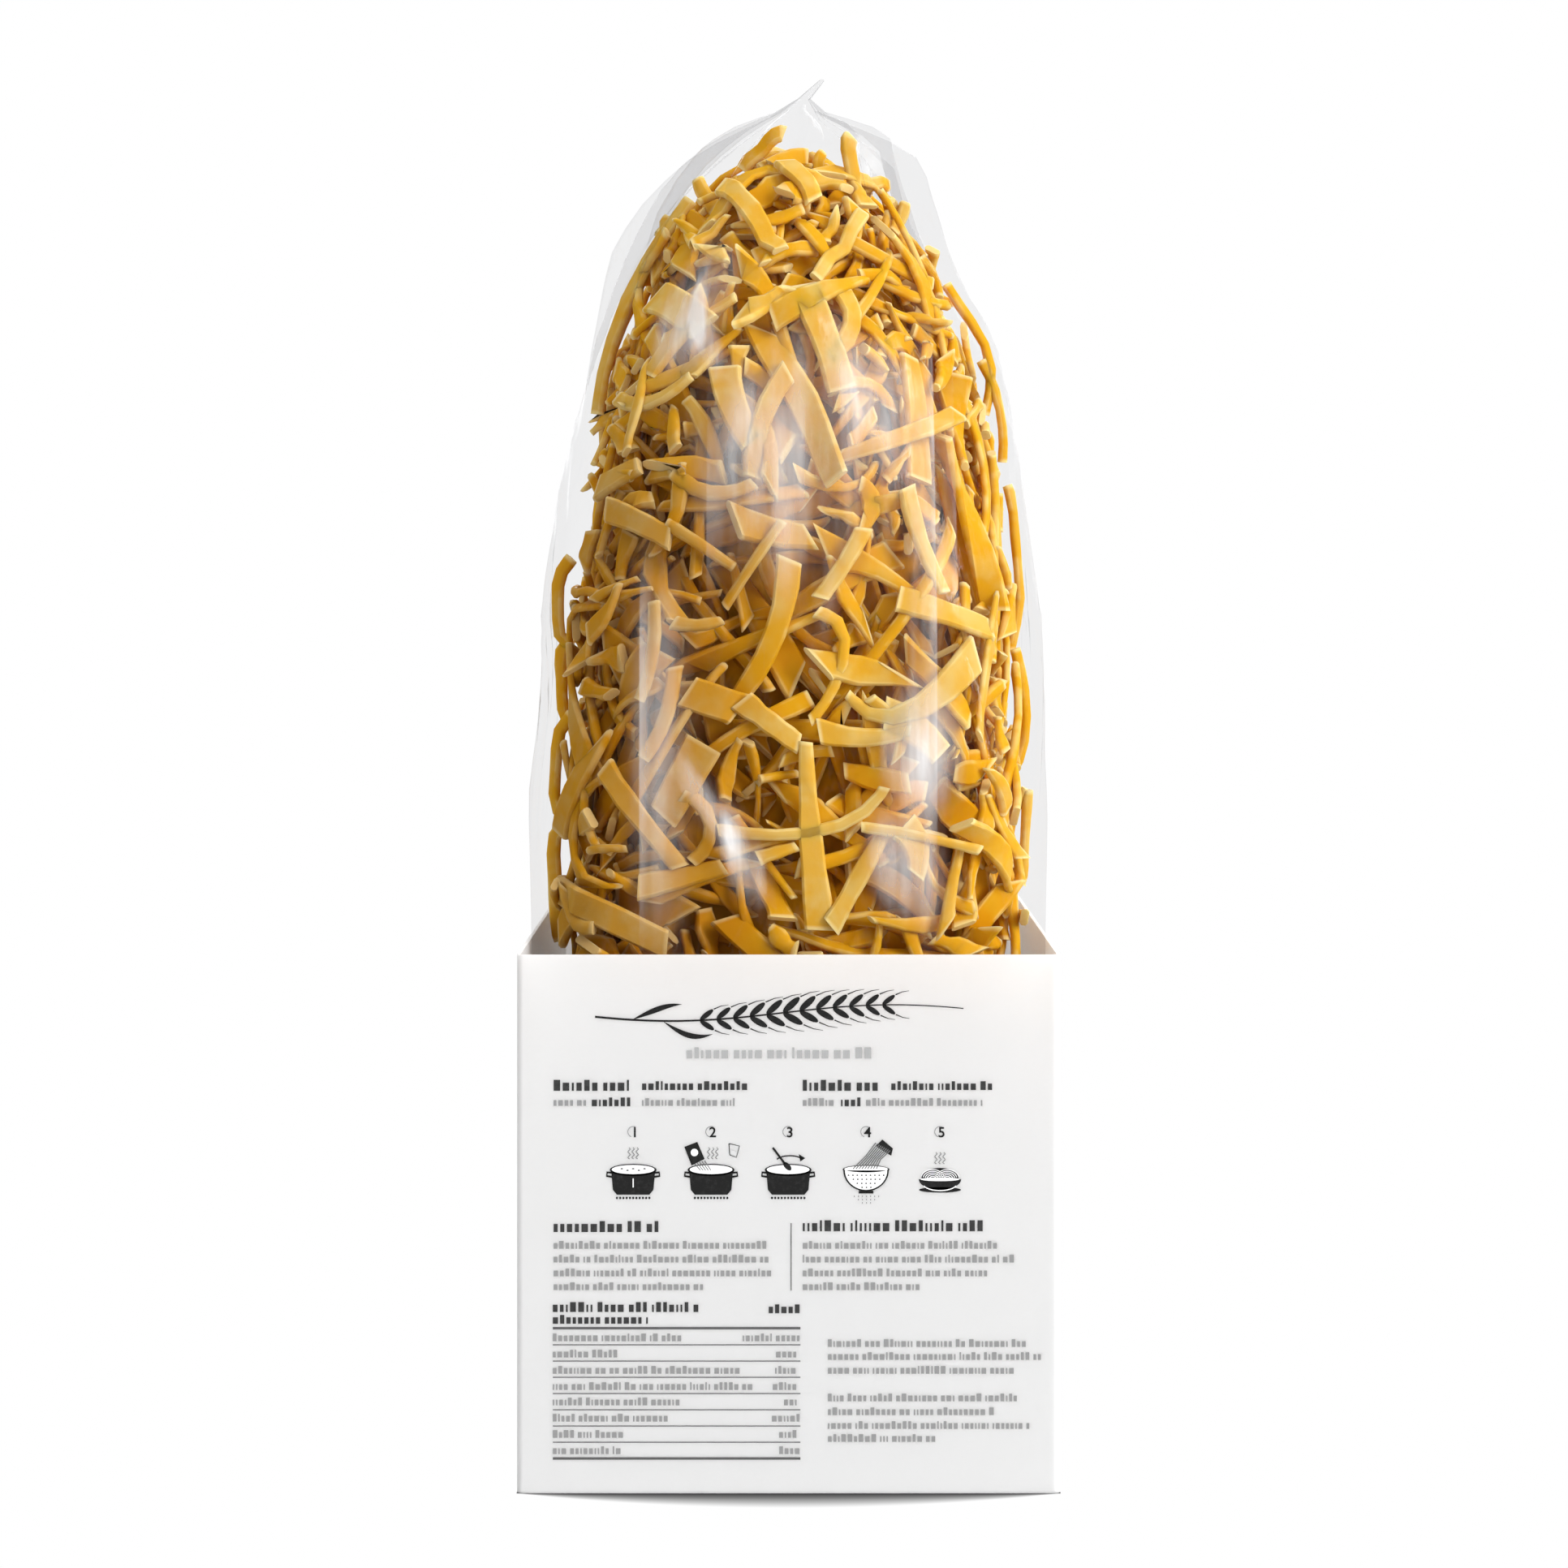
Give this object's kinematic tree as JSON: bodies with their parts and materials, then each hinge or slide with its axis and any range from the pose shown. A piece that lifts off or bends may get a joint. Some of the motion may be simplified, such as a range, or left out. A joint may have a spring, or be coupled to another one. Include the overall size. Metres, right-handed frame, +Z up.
{
  "type": "pack of egg noodles",
  "caption": "Clear film bag of cut dried egg noodles, gathered to a thin tail at the top, standing in a square open white card box.",
  "frame": {"origin": "centre of the underside of the card box, at floor level", "axes": "+Z up, -Y out of the printed panel, +X to the right as the printed panel is read"},
  "size_m": [0.0954, 0.095, 0.2605],
  "materials": {
    "card": "smooth uncoated white card with black print",
    "film": "clear crinkled film over yellow egg noodles"
  },
  "bodies": {
    "root": {"card_box": "card", "film_bag": "film"}
  },
  "joints": []
}
